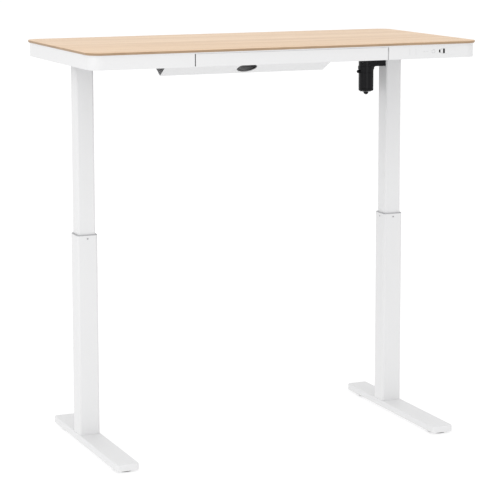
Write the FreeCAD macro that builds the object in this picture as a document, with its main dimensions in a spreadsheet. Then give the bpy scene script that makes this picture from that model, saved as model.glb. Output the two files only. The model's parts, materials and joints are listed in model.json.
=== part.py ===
"""Height adjustable standing desk with a drawer, on two screw-driven telescopic columns.

Frame: millimetres, +Z up, front edge towards -Y, origin on the floor under the middle of the top.
"""
import FreeCAD, Part
import math
import os

from FreeCAD import Placement, Rotation, Vector
from Sketcher import Constraint

DOC = FreeCAD.newDocument("standing_desk")
SHEET = DOC.addObject("Spreadsheet::Sheet", "dims")

DIMENSIONS = {
    # board and apron
    "top_length": 1200, "top_depth": 600, "top_thick": 10, "top_corner": 40, "top_bevel": 5,
    "desk_height": 1175,
    "apron_inset": 5, "apron_height": 38, "apron_corner": 36, "sheet_thick": 1.5, "lip_width": 16,
    # columns and feet
    "leg_spacing": 996, "leg_back": 73,
    "lower_width": 62, "upper_width": 53, "lower_corner": 7, "upper_corner": 6,
    "lower_wall": 2, "upper_wall": 2, "lower_top": 618, "upper_bottom": 485,
    "collar_height": 24, "collar_flange": 2.4, "collar_screw_drop": 9,
    "foot_length": 582, "foot_width": 67, "foot_height": 20, "foot_corner": 9, "foot_edge": 4,
    "glide_height": 5, "glide_radius": 29, "glide_front": -254, "glide_rear": 212,
    # frame under the board
    "beam_width": 72, "beam_length": 552, "beam_front": -265, "beam_height": 34, "beam_wall": 3,
    "rail_width": 25, "rail_height": 30, "rail_front": -62, "rail_rear": 152,
    # drawer
    "drawer_width": 592, "drawer_shift": 6, "drawer_gap": 3, "drawer_depth": 200, "drawer_panel": 3,
    "drawer_wall": 1, "drawer_height": 28, "drawer_side_room": 14, "drawer_floor_rise": 3,
    "slide_width": 10, "slide_height": 22, "slide_start": 16, "runner_width": 8, "runner_height": 14,
    # control panel and electrics
    "panel_left": 345, "panel_length": 150, "panel_height": 30, "panel_depth": 6, "port_rise": 1.5,
    "box_left": 150, "box_length": 230, "box_front": 190, "box_depth": 70, "box_height": 32, "box_drop": 34,
    "inlet_depth": 10, "inlet_width": 28, "inlet_height": 22,
    # drive train
    "shaft_drop": 74, "shaft_across": 10, "spindle_radius": 8, "spindle_bottom": 485,
    "nut_low": 540, "nut_height": 30, "nut_tube_radius": 15, "nut_tube_bore": 11,
    "gear_inner": 8, "gear_outer": 17, "gear_gap": 0.4, "bearing_radius": 16, "bearing_height": 11,
    "housing_floor": 4,
    # motor
    "motor_offset": 82, "motor_radius": 23, "motor_gear_depth": 46,
    "motor_gear_bottom": 97, "motor_gear_rise": 20, "motor_neck": 10, "motor_can_bottom": 170,
    "motor_tip": 184.5, "gland_drop": 16.1, "gland_length": 8,
    # cable tray
    "tray_half": 262, "tray_drop": 102, "tray_keel": 62, "tray_thick": 1.5, "tray_flare": 8,
    "hole_half_width": 31, "hole_half_length": 27,
}
for row, (alias, number) in enumerate(DIMENSIONS.items(), start=1):
    SHEET.set(f"A{row}", alias)
    SHEET.set(f"B{row}", str(number))
    SHEET.setAlias(f"B{row}", alias)
DOC.recompute()

LEFT, RIGHT = -1, 1
SIDES = {"left": LEFT, "right": RIGHT}
SUBPARTS = []
BOARD_SCREW_Y = (-230, -90, 190, 262)
PORT_X = {"usb_c": 470, "usb_a": 484}
PORT_WINDOW = {"usb_c": (5.0, 9.0, 2.4), "usb_a": (6.0, 13.5, 1.2)}
PORT_SHELL = {"usb_c": (7.0, 11.0, 12.0), "usb_a": (8.0, 15.5, 16.0)}
HOLE_SHARE = 0.28
CLEARANCE = 0.05


def dim(alias):
    """The number in the cell with this alias."""
    return float(getattr(SHEET, alias))


def bound(text):
    """Turn plain words such as top_depth/2 into a reference to the sheet's cells."""
    words = sorted(DIMENSIONS, key=len, reverse=True)
    out, position = "", 0
    while position < len(text):
        word = next((w for w in words if text.startswith(w, position)), None)
        out += f"dims.{word}" if word else text[position]
        position += len(word) if word else 1
    return out


def bind(obj, prop, value):
    """Set a property to a number, or bind it to an expression on the sheet."""
    if isinstance(value, str):
        obj.setExpression(prop, bound(value))
        return
    if prop.startswith("Placement.Base."):
        base = obj.Placement.Base
        setattr(base, prop[-1], value)
        obj.Placement = Placement(base, obj.Placement.Rotation)
        return
    setattr(obj, prop, value)


def place(obj, at):
    """Put an object at a point whose coordinates are numbers or expressions."""
    for axis, value in zip("xyz", at):
        bind(obj, f"Placement.Base.{axis}", value)


def subpart(obj, label):
    """Name a finished object as one of the desk's separate pieces."""
    obj.Label = label
    SUBPARTS.append(obj)
    return obj


# ---------------------------------------------------------------- primitives and booleans

def box(size, at, name="block"):
    """A block from its length, width and height along X, Y and Z, and its lowest corner."""
    obj = DOC.addObject("Part::Box", name)
    for prop, value in zip(("Length", "Width", "Height"), size):
        bind(obj, prop, value)
    place(obj, at)
    return obj


AXES = {
    "+X": Rotation(Vector(0, 1, 0), 90), "-X": Rotation(Vector(0, 1, 0), -90),
    "+Y": Rotation(Vector(1, 0, 0), -90), "-Y": Rotation(Vector(1, 0, 0), 90),
    "+Z": Rotation(), "-Z": Rotation(Vector(1, 0, 0), 180),
}


def cylinder(radius, length, at, axis="+Z", name="round"):
    """A round bar that starts at a point and runs along an axis."""
    obj = DOC.addObject("Part::Cylinder", name)
    bind(obj, "Radius", radius)
    bind(obj, "Height", length)
    obj.Placement = Placement(Vector(), AXES[axis])
    place(obj, at)
    return obj


def cone(radius_start, radius_end, length, at, axis="+Z", name="taper"):
    """A tapered round that starts at a point and runs along an axis."""
    obj = DOC.addObject("Part::Cone", name)
    bind(obj, "Radius1", radius_start)
    bind(obj, "Radius2", radius_end)
    bind(obj, "Height", length)
    obj.Placement = Placement(Vector(), AXES[axis])
    place(obj, at)
    return obj


def prism(across_corners, length, at, axis="+X", name="hexagon"):
    """A hexagonal bar from its corner radius and length."""
    obj = DOC.addObject("Part::Prism", name)
    obj.Polygon = 6
    bind(obj, "Circumradius", across_corners)
    bind(obj, "Height", length)
    obj.Placement = Placement(Vector(), AXES[axis])
    place(obj, at)
    return obj


def fused(*shapes, name="joined"):
    """One solid made of several."""
    obj = DOC.addObject("Part::MultiFuse", name)
    obj.Shapes = list(shapes)
    return obj


def group(*shapes, name="set"):
    """Separate solids that share one name, such as a set of screws."""
    obj = DOC.addObject("Part::Compound", name)
    obj.Links = list(shapes)
    return obj


def cut(base, *tools, name="cut"):
    """A solid with others taken out of it."""
    obj = DOC.addObject("Part::Cut", name)
    obj.Base = base
    obj.Tool = tools[0] if len(tools) == 1 else fused(*tools, name="tools")
    return obj


def rounded(base, radius, choose, name="rounded"):
    """Round the edges that choose(edge) picks."""
    DOC.recompute()
    obj = DOC.addObject("Part::Fillet", name)
    obj.Base = base
    numbers = [i for i, edge in enumerate(base.Shape.Edges, start=1) if choose(edge)]
    obj.Edges = [(i, radius, radius) for i in numbers]
    return obj


def along(axis):
    """Pick straight edges that run along an axis, 0, 1 or 2."""
    def choose(edge):
        if not isinstance(edge.Curve, Part.Line):
            return False
        return abs(abs(edge.Curve.Direction[axis]) - 1) < 1e-6
    return choose


# ---------------------------------------------------------------- sketched bodies

def new_body(label, at):
    """An empty PartDesign body at a point."""
    body = DOC.addObject("PartDesign::Body", label)
    place(body, at)
    return subpart(body, label)


def sketch_on(body, role, name, lift=None):
    """A sketch on one of the body's own origin planes, moved along the plane's normal by lift."""
    plane = next(f for f in body.Origin.OriginFeatures if f.Role == role)
    sketch = body.newObject("Sketcher::SketchObject", name)
    sketch.AttachmentSupport = [(plane, "")]
    sketch.MapMode = "FlatFace"
    if lift is not None:
        sketch.setExpression("AttachmentOffset.Base.z", bound(lift))
    return sketch


def rounded_loop(sketch, width, depth, radius):
    """A rounded rectangle centred on the sketch's origin, with its sizes bound to the sheet."""
    w, d, r = 20.0, 10.0, 2.0
    first = sketch.GeometryCount
    corners = [(w - r, d - r, 0), (r - w, d - r, 90), (r - w, r - d, 180), (w - r, r - d, 270)]
    sides = [
        (Vector(w, r - d, 0), Vector(w, d - r, 0)), (Vector(w - r, d, 0), Vector(r - w, d, 0)),
        (Vector(-w, d - r, 0), Vector(-w, r - d, 0)), (Vector(r - w, -d, 0), Vector(w - r, -d, 0)),
    ]
    for (start, end), (x, y, angle) in zip(sides, corners):
        sketch.addGeometry(Part.LineSegment(start, end), False)
        circle = Part.Circle(Vector(x, y, 0), Vector(0, 0, 1), r)
        turn = math.radians(angle)
        sketch.addGeometry(Part.ArcOfCircle(circle, turn, turn + math.pi / 2), False)
    add = sketch.addConstraint
    for side in range(4):
        line, arc = first + 2 * side, first + 2 * side + 1
        following = first + (2 * side + 2) % 8
        add(Constraint("Tangent", line, 2, arc, 1))
        add(Constraint("Tangent", arc, 2, following, 1))
        add(Constraint("Vertical" if side % 2 == 0 else "Horizontal", line))
    for side in range(1, 4):
        add(Constraint("Equal", first + 1, first + 2 * side + 1))
    for line, kind, positive, size, half in (
        (first, "DistanceX", True, width, w), (first + 4, "DistanceX", False, width, w),
        (first + 2, "DistanceY", True, depth, d), (first + 6, "DistanceY", False, depth, d),
    ):
        ends = (-1, 1, line, 1) if positive else (line, 1, -1, 1)
        number = add(Constraint(kind, *ends, half))
        sketch.setExpression(f"Constraints[{number}]", bound(f"({size})/2"))
    number = add(Constraint("Radius", first + 1, r))
    sketch.setExpression(f"Constraints[{number}]", bound(radius))


def outline(sketch, points):
    """A closed outline of straight lines through fixed points."""
    for start, end in zip(points, points[1:] + points[:1]):
        sketch.addGeometry(Part.LineSegment(Vector(*start, 0), Vector(*end, 0)), False)


def rounded_window(sketch, x, y, width, height, radius):
    """A rounded rectangle of fixed size and place."""
    w, d, r = width / 2, height / 2, radius
    quarters = [(w - r, r - d, 270), (w - r, d - r, 0), (r - w, d - r, 90), (r - w, r - d, 180)]
    ends = []
    for px, py, angle in quarters:
        circle = Part.Circle(Vector(x + px, y + py, 0), Vector(0, 0, 1), r)
        turn = math.radians(angle)
        arc = Part.ArcOfCircle(circle, turn, turn + math.pi / 2)
        sketch.addGeometry(arc, False)
        ends.append((arc.StartPoint, arc.EndPoint))
    for (_, end), (start, _) in zip(ends, ends[1:] + ends[:1]):
        sketch.addGeometry(Part.LineSegment(end, start), False)


def pad(body, sketch, length, name="Pad", midplane=False, backwards=False):
    """Extrude a sketch into material."""
    feature = body.newObject("PartDesign::Pad", name)
    feature.Profile = sketch
    bind(feature, "Length", length)
    feature.Midplane = midplane
    feature.Reversed = backwards
    DOC.recompute()
    return feature


def pocket(body, sketch, length, name="Pocket", backwards=True, midplane=False):
    """Cut a sketch out of the body, and make sure that it took something away."""
    before = body.Shape.Volume
    feature = body.newObject("PartDesign::Pocket", name)
    feature.Profile = sketch
    bind(feature, "Length", length)
    feature.Reversed = backwards
    feature.Midplane = midplane
    DOC.recompute()
    if not body.Shape.Volume < before - 1:
        raise RuntimeError(f"{body.Label}: {name} cuts nothing")
    return feature


def fillet(body, feature, radius, choose, kind="PartDesign::Fillet", name="Fillet"):
    """Round or bevel the edges of the body that choose(edge) picks."""
    edges = [f"Edge{i}" for i, edge in enumerate(feature.Shape.Edges, start=1) if choose(edge)]
    dressed = body.newObject(kind, name)
    dressed.Base = (feature, edges)
    bind(dressed, "Size" if kind.endswith("Chamfer") else "Radius", radius)
    DOC.recompute()
    return dressed


def at_height(z):
    """Pick edges that lie flat at one height in the body's own frame."""
    return lambda e: abs(e.BoundBox.ZMin - z) < 1e-4 and abs(e.BoundBox.ZMax - z) < 1e-4


def square_tube(label, width, wall, corner, low, high, at_x, at_y):
    """A square tube with rounded corners, standing between two heights."""
    body = new_body(label, (at_x, at_y, low))
    outer = sketch_on(body, "XY_Plane", "section")
    rounded_loop(outer, width, width, corner)
    rounded_loop(outer, f"{width}-2*{wall}", f"{width}-2*{wall}", f"{corner}-{wall}")
    pad(body, outer, f"{high}-({low})")
    return body


def screw(at, axis="+Z", head_radius=4, head_height=2, shank_radius=2, shank=8):
    """A pan-head screw: its head starts at a point, and its shank runs on along the axis."""
    step = AXES[axis].multVec(Vector(0, 0, 1))
    head = cylinder(head_radius, head_height, at, axis, name="head")
    inner = [f"({value})+({step[i] * head_height})" for i, value in enumerate(at)]
    stem = cylinder(shank_radius, shank, inner, axis, name="stem")
    return fused(head, stem, name="screw")


LEG_X = {side: f"{sign}*leg_spacing/2" for side, sign in SIDES.items()}
APRON_LOW = "desk_height-top_thick-apron_height"
BOARD_LOW = "desk_height-top_thick"
SHAFT_Z = "desk_height-shaft_drop"
FOOT_TOP = "glide_height+foot_height"


# ---------------------------------------------------------------- board and apron

def make_tabletop():
    """The board: rounded corners, a small round along its top edge and a bevel under it."""
    body = new_body("tabletop", (0, 0, BOARD_LOW))
    plan = sketch_on(body, "XY_Plane", "plan")
    rounded_loop(plan, "top_length", "top_depth", "top_corner")
    slab = pad(body, plan, "top_thick")
    bevel = fillet(body, slab, "top_bevel-1", at_height(0), "PartDesign::Chamfer", "UnderBevel")
    fillet(body, bevel, 1.5, at_height(dim("top_thick")), name="TopRound")


def make_apron_frame():
    """The folded sheet frame: a wall with lips above and below, open where the drawer goes."""
    body = new_body("apron_frame", (0, 0, APRON_LOW))
    plan = sketch_on(body, "XY_Plane", "plan")
    length, depth = "(top_length-2*apron_inset)", "(top_depth-2*apron_inset)"
    rounded_loop(plan, length, depth, "apron_corner")
    pad(body, plan, "apron_height")
    middle = sketch_on(body, "XY_Plane", "inside_lips")
    rounded_loop(middle, f"{length}-2*lip_width", f"{depth}-2*lip_width", "apron_corner-lip_width/2")
    pocket(body, middle, "apron_height+1", "Opening", midplane=False)
    hollow = sketch_on(body, "XY_Plane", "inside_wall", "sheet_thick")
    rounded_loop(hollow, f"{length}-2*sheet_thick", f"{depth}-2*sheet_thick", "apron_corner-sheet_thick")
    pocket(body, hollow, "apron_height-2*sheet_thick", "Channel")
    doorway = sketch_on(body, "XZ_Plane", "doorway", "top_depth/2-lip_width-apron_inset-4")
    low, high = -1, dim("apron_height") - dim("sheet_thick")
    half, shift = dim("drawer_width") / 2 + dim("drawer_gap"), dim("drawer_shift")
    outline(doorway, [(shift - half, low), (shift + half, low), (shift + half, high), (shift - half, high)])
    pocket(body, doorway, "lip_width+10", "Doorway")
    ports = sketch_on(body, "XZ_Plane", "ports", "top_depth/2-apron_inset-4")
    middle = dim("apron_height") / 2 + dim("port_rise")
    for name, (width, height, radius) in PORT_WINDOW.items():
        rounded_window(ports, PORT_X[name], middle, width, height, radius)
    pocket(body, ports, 10, "Ports")


def make_control_panel():
    """The touch panel's board behind the apron's front, and the two ports beside it."""
    front = -(dim("top_depth") / 2 - dim("apron_inset"))
    middle_z = dim("desk_height") - dim("top_thick") - dim("apron_height") / 2
    back = front + dim("sheet_thick") + CLEARANCE
    port_z = middle_z + dim("port_rise")
    at = ("panel_left", back, middle_z - dim("panel_height") / 2)
    board = box(("panel_length", "panel_depth", "panel_height"), at, "panel_board")
    openings = []
    wall, room, step = 1, 0.5, 2
    for name, (width, height, length) in PORT_SHELL.items():
        left, low = PORT_X[name] - width / 2, port_z - height / 2
        shell = box((width, length, height), (left, back, low))
        mouth = box((width - 2 * wall, length - 3, height - 2 * wall), (left + wall, back - 1, low + wall))
        tongue_width, above = 1.4, 2.5
        tongue = box((tongue_width, length - step - 3, height - 2 * above),
                     (PORT_X[name] - tongue_width / 2, back + step, low + above))
        subpart(fused(cut(shell, mouth), tongue), f"{name}_port")
        openings.append(box((width + 2 * room, 10, height + 2 * room), (left - room, back - 2, low - room)))
    subpart(cut(board, *openings), "control_panel")


# ---------------------------------------------------------------- frame under the board

def make_side_beams():
    """Channels that open downwards and join each column to the board."""
    for side in SIDES:
        width, wall = "beam_width", "beam_wall"
        start = "beam_front"
        low = "desk_height-top_thick-beam_height-sheet_thick-0.3"
        outer = box((width, "beam_length", "beam_height"), (f"{LEG_X[side]}-{width}/2", start, low))
        inner = box((f"{width}-2*{wall}", "beam_length+2", f"beam_height-{wall}"),
                    (f"{LEG_X[side]}-{width}/2+{wall}", f"{start}-1", low))
        ways = [cylinder(2.4, "beam_height+2", (LEG_X[side], y, f"{low}-1")) for y in BOARD_SCREW_Y]
        subpart(cut(outer, inner, *ways), f"side_beam_{side}")


def make_cross_rails():
    """Two rectangular tubes between the side beams."""
    length = "leg_spacing-beam_width-0.2"
    low = "desk_height-top_thick-rail_height-sheet_thick-0.3"
    for name in ("front", "rear"):
        middle = f"rail_{name}"
        outer = box((length, "rail_width", "rail_height"), (f"-({length})/2", f"{middle}-rail_width/2", low))
        inner = box((f"{length}+2", "rail_width-3", "rail_height-3"),
                    (f"-({length})/2-1", f"{middle}-rail_width/2+1.5", f"{low}+1.5"))
        subpart(cut(outer, inner), f"cross_rail_{name}")


def make_cable_tray():
    """A folded sheet trough under the board, with flared ends and an oval hole in its front slope."""
    half, keel = dim("tray_half"), dim("tray_keel")
    thick, flare = dim("tray_thick"), dim("tray_flare")
    low = dim("desk_height") - dim("tray_drop")
    rail_low = dim("desk_height") - dim("top_thick") - dim("rail_height") - dim("sheet_thick") - 0.3
    front, rear = dim("rail_front"), dim("rail_rear")
    fold_front, fold_rear = front + 16, rear - 14
    outer = [
        (front - 11, rail_low), (front - 11, rail_low - thick), (fold_front, rail_low - thick),
        (keel - 4, low), (keel + 4, low), (fold_rear, rail_low - thick),
        (rear + 11, rail_low - thick), (rear + 11, rail_low),
        (fold_rear - 1, rail_low), (keel + 3, low + 1.6 * thick), (keel - 3, low + 1.6 * thick),
        (fold_front + 1, rail_low),
    ]
    wide = half + flare
    profile = Part.Face(Part.makePolygon([Vector(-wide, y, z) for y, z in outer + outer[:1]]))
    sheet = profile.extrude(Vector(2 * wide, 0, 0))
    for sign in (LEFT, RIGHT):
        tip, top = sign * half, sign * wide
        wedge = Part.Face(Part.makePolygon([
            Vector(tip, -200, low - 1), Vector(top, -200, rail_low - 4),
            Vector(top + sign, -200, rail_low - 4),
            Vector(top + sign, -200, low - 1), Vector(tip, -200, low - 1),
        ]))
        sheet = sheet.cut(wedge.extrude(Vector(0, 500, 0)))
    slope_y, slope_z = fold_front - (keel - 4), rail_low - thick - low
    length = math.hypot(slope_y, slope_z)
    centre = Vector(0, keel - 4 + HOLE_SHARE * slope_y, low + HOLE_SHARE * slope_z)
    normal = Vector(0, -slope_z / length, slope_y / length)
    ellipse = Part.Ellipse(Vector(), dim("hole_half_width"), dim("hole_half_length"))
    hole = Part.Face(Part.Wire(ellipse.toShape())).extrude(Vector(0, 0, 40))
    hole.translate(Vector(0, 0, -20))
    hole.Placement = Placement(centre, Rotation(Vector(0, 0, 1), normal)) * hole.Placement
    tray = DOC.addObject("Part::Feature", "tray")
    tray.Shape = sheet.cut(hole)
    subpart(tray, "cable_tray")
    screws = []
    for x in (-225, 0, 225):
        for y in (front - 4, rear + 4):
            screws.append(screw((x, y, rail_low - thick - 2), "+Z", 4, 2, 1.9, 3.2))
    subpart(group(*screws), "tray_screws")


# ---------------------------------------------------------------- drawer

def make_drawer():
    """A front panel with a shallow box of sheet plates behind it, on two runners."""
    front = -(dim("top_depth") / 2 - dim("apron_inset"))
    low = dim("desk_height") - dim("top_thick") - dim("apron_height")
    shift, width = dim("drawer_shift"), dim("drawer_width")
    depth, height = dim("drawer_depth"), dim("drawer_height")
    panel, wall = dim("drawer_panel"), dim("drawer_wall")
    panel_height = dim("apron_height") - dim("sheet_thick") - 0.3
    subpart(box((width, panel, panel_height), (shift - width / 2, front, low)), "drawer_front")
    half = width / 2 - dim("drawer_side_room")
    start, floor = front + panel + CLEARANCE, low + dim("drawer_floor_rise")
    subpart(box((2 * half, depth, wall), (shift - half, start, floor)), "drawer_floor")
    for side, sign in SIDES.items():
        edge = shift + (half - wall if sign > 0 else -half)
        plate = box((wall, depth, height - wall), (edge, start, floor + wall))
        subpart(plate, f"drawer_side_{side}")
    inside = 2 * (half - wall)
    back_at = (shift - half + wall, start + depth - wall, floor + wall)
    subpart(box((inside, wall, height - wall), back_at), "drawer_back")
    slot, tongue = dim("slide_width"), dim("runner_width")
    rail_wall, groove_edge = 2, 3
    length, begin = depth - 20, start + dim("slide_start")
    rail_low, rail_top = floor + 3, floor + 3 + dim("slide_height")
    near = half + CLEARANCE
    rail_near = near + 3.3
    screws = []
    for side, sign in SIDES.items():
        runner_x = shift + (near if sign > 0 else -near - tongue)
        runner = box((tongue, length, "runner_height"), (runner_x, begin, floor + 7))
        subpart(runner, f"drawer_runner_{side}")
        plate_x = shift + (rail_near if sign > 0 else -rail_near - slot)
        outer_rail = box((slot, length, "slide_height"), (plate_x, begin, rail_low))
        groove_x = shift + (rail_near - 1 if sign > 0 else -rail_near - slot + rail_wall)
        groove = box((slot - 1, length + 2, dim("slide_height") - 2 * groove_edge),
                     (groove_x, begin - 1, rail_low + groove_edge))
        hanger = box((slot, length, 9.9), (plate_x, begin, rail_top))
        subpart(fused(cut(outer_rail, groove), hanger), f"drawer_rail_{side}")
        for y in (begin + 20, begin + length - 20):
            direction = "+X" if sign > 0 else "-X"
            inner_face = shift + sign * (half - wall - 1.5)
            screws.append(screw((inner_face, y, floor + 14), direction, 3.2, 1.45, 1.6, 4))
    subpart(group(*screws), "drawer_screws")


# ---------------------------------------------------------------- columns and feet

def make_columns():
    """Lower tubes welded to the feet's seats, upper tubes that slide in them, and the collars."""
    collar_screws = []
    for side in SIDES:
        lower = square_tube(f"lower_column_{side}", "lower_width", "lower_wall", "lower_corner",
                            FOOT_TOP, "lower_top", LEG_X[side], "leg_back")
        seat = sketch_on(lower, "XY_Plane", "seat")
        rounded_loop(seat, "lower_width-1", "lower_width-1", "lower_corner")
        pad(lower, seat, 4, "Seat")
        beam_web = "desk_height-top_thick-sheet_thick-0.3-beam_wall-0.1"
        upper = square_tube(f"upper_column_{side}", "upper_width", "upper_wall", "upper_corner",
                            "upper_bottom", beam_web, LEG_X[side], "leg_back")
        window = sketch_on(upper, "YZ_Plane", "shaft_window")
        height = dim("desk_height") - dim("shaft_drop") - dim("upper_bottom")
        window.addGeometry(Part.Circle(Vector(0, height, 0), Vector(0, 0, 1), 8), False)
        pocket(upper, window, "upper_width", "ShaftWindow", backwards=side == "left")
        collar = new_body(f"column_collar_{side}", (LEG_X[side], "leg_back", "lower_top-collar_height"))
        ring = sketch_on(collar, "XY_Plane", "ring")
        rounded_loop(ring, "lower_width-2*lower_wall-0.1", "lower_width-2*lower_wall-0.1",
                     "lower_corner-lower_wall")
        rounded_loop(ring, "upper_width+0.6", "upper_width+0.6", "upper_corner+0.3")
        pad(collar, ring, "collar_height", "Sleeve")
        brim = sketch_on(collar, "XY_Plane", "brim", "collar_height")
        rounded_loop(brim, "lower_width-1", "lower_width-1", "lower_corner-0.5")
        rounded_loop(brim, "upper_width+0.6", "upper_width+0.6", "upper_corner+0.3")
        pad(collar, brim, "collar_flange", "Brim")
        proud = dim("lower_width") / 2 + 1.2
        x, y = SIDES[side] * dim("leg_spacing") / 2, dim("leg_back")
        z = dim("lower_top") - dim("collar_screw_drop")
        inner_side = ("+X", (x - proud, y, z)) if SIDES[side] > 0 else ("-X", (x + proud, y, z))
        for axis, at in (("-Y", (x, y + proud, z)), ("+Y", (x, y - proud, z)), inner_side):
            collar_screws.append(screw(at, axis, 2.6, 1.15, 1.2, 3.0))
    subpart(group(*collar_screws), "collar_screws")


def drill(foot, name, places, radius, depth):
    """Round holes up into a foot from its underside."""
    holes = sketch_on(foot, "XY_Plane", name)
    for x, y in places:
        number = holes.addGeometry(Part.Circle(Vector(x, y, 0), Vector(0, 0, 1), radius), False)
        holes.addConstraint(Constraint("Radius", number, radius))
        holes.addConstraint(Constraint("DistanceX", number, 3, x))
        holes.addConstraint(Constraint("DistanceY", number, 3, y))
    pocket(foot, holes, depth, name)


def make_feet():
    """Flat feet with rounded ends and edges, the glides under them, and their screws."""
    foot_screws = []
    for side in SIDES:
        foot = new_body(f"foot_{side}", (LEG_X[side], 0, "glide_height"))
        plan = sketch_on(foot, "XY_Plane", "plan")
        rounded_loop(plan, "foot_width", "foot_length", "foot_corner")
        bar = pad(foot, plan, "foot_height")
        top = dim("foot_height")
        softened = fillet(foot, bar, "foot_edge", at_height(top), name="TopEdge")
        fillet(foot, softened, 1.5, at_height(0), name="LowEdge")
        spread = dim("lower_width") / 2 - 14
        corners = [(a * spread, dim("leg_back") + b * spread) for a in (-1, 1) for b in (-1, 1)]
        glides = [(0, dim("glide_front")), (0, dim("glide_rear"))]
        drill(foot, "GlideHoles", glides, 4.1, "foot_height-3")
        drill(foot, "ScrewHoles", corners, 3.1, "foot_height+1")
        leg_x = SIDES[side] * dim("leg_spacing") / 2
        for x, y in corners:
            foot_screws.append(screw((leg_x + x, y, dim("glide_height") + 0.5), "+Z", 3.05, 3, 2.9, 18))
        for end in ("front", "rear"):
            y = f"glide_{end}"
            pad_disc = cone("glide_radius-1.5", "glide_radius", "glide_height-0.2", (LEG_X[side], y, 0))
            stud = cylinder(4.05, "foot_height-4", (LEG_X[side], y, "glide_height-0.3"))
            subpart(fused(pad_disc, stud), f"glide_{end}_{side}")
    subpart(group(*foot_screws), "foot_screws")


# ---------------------------------------------------------------- drive train

def make_spindles():
    """In each column: a spindle that hangs from a bearing, and a nut on a tube that stands on the foot."""
    for side, sign in SIDES.items():
        x = LEG_X[side]
        gear_low = f"{SHAFT_Z}-gear_outer"
        spindle = cylinder("spindle_radius", f"{gear_low}-spindle_bottom", (x, "leg_back", "spindle_bottom"))
        subpart(spindle, f"spindle_{side}")
        gear = cone("gear_outer-gear_gap", "gear_inner-gear_gap", "gear_outer-gear_inner",
                    (x, "leg_back", gear_low))
        subpart(gear, f"spindle_gear_{side}")
        seat = f"{gear_low}-bearing_height-3"
        bearing = cut(cylinder("bearing_radius", "bearing_height", (x, "leg_back", seat)),
                      cylinder("spindle_radius+0.05", "bearing_height+2", (x, "leg_back", f"{seat}-1")))
        subpart(bearing, f"spindle_bearing_{side}")
        inner = dim("upper_width") / 2 - dim("upper_wall") - 0.1
        low = f"{seat}-housing_floor"
        block = box((2 * inner, 2 * inner, "2*gear_outer+22"), (f"{x}-{inner}", f"leg_back-{inner}", low))
        block = rounded(block, dim("upper_corner") - dim("upper_wall") + 0.4, along(2))
        gear_room = cylinder("gear_outer+0.8", "gear_outer+20", (x, "leg_back", f"{gear_low}-1"))
        shaft_side = "+X" if sign < 0 else "-X"
        side_room = cylinder("gear_outer+1.8", "gear_outer+1.5", (x, "leg_back", SHAFT_Z), shaft_side)
        bearing_seat = cylinder("bearing_radius", "bearing_height+4", (x, "leg_back", seat))
        spindle_way = cylinder("spindle_radius+1", "housing_floor+16", (x, "leg_back", f"{low}-1"))
        shaft_way = cylinder(8, "upper_width/2", (x, "leg_back", SHAFT_Z), shaft_side)
        housing = cut(block, gear_room, side_room, bearing_seat, spindle_way, shaft_way)
        subpart(housing, f"bevel_housing_{side}")
        nut = cut(cylinder("nut_tube_radius+3", "nut_height", (x, "leg_back", "nut_low")),
                  cylinder("spindle_radius+0.3", "nut_height+2", (x, "leg_back", "nut_low-1")))
        subpart(nut, f"spindle_nut_{side}")
        tube = cut(cylinder("nut_tube_radius", f"nut_low-({FOOT_TOP})-4", (x, "leg_back", f"{FOOT_TOP}+4")),
                   cylinder("nut_tube_bore", "nut_low", (x, "leg_back", f"{FOOT_TOP}+3")))
        subpart(tube, f"nut_tube_{side}")


def make_drive_shaft():
    """The hexagonal shaft across the desk, with a bevel gear at each column and one at the motor."""
    reach = dim("leg_spacing") / 2 - dim("gear_outer") - 0.1
    corner = dim("shaft_across") / math.sqrt(3)
    motor_x = dim("leg_spacing") / 2 - dim("motor_offset")
    shaft = prism(corner, 2 * reach, (-reach, "leg_back", SHAFT_Z), "+X")
    subpart(shaft, "drive_shaft")
    for side, sign in SIDES.items():
        axis = "-X" if sign > 0 else "+X"
        outer_x = sign * (dim("leg_spacing") / 2 - dim("gear_inner"))
        gear = cone("gear_inner-gear_gap", "gear_outer-gear_gap", "gear_outer-gear_inner",
                    (outer_x, "leg_back", SHAFT_Z), axis)
        subpart(gear, f"shaft_gear_{side}")
    disc = cone("gear_inner-gear_gap", "gear_outer-gear_gap", "gear_outer-gear_inner",
                (motor_x + dim("gear_inner"), "leg_back", SHAFT_Z), "+X")
    bore = prism(corner, 30, (motor_x, "leg_back", SHAFT_Z), "+X")
    subpart(cut(disc, bore), "shaft_gear_motor")
    pinion = cone("gear_outer-gear_gap", "gear_inner-gear_gap", "gear_outer-gear_inner",
                  (motor_x, "leg_back", f"{SHAFT_Z}-gear_outer"))
    stem = cylinder(4, 26, (motor_x, "leg_back", f"{SHAFT_Z}-gear_outer-26"))
    subpart(fused(pinion, stem), "motor_shaft")


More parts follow.
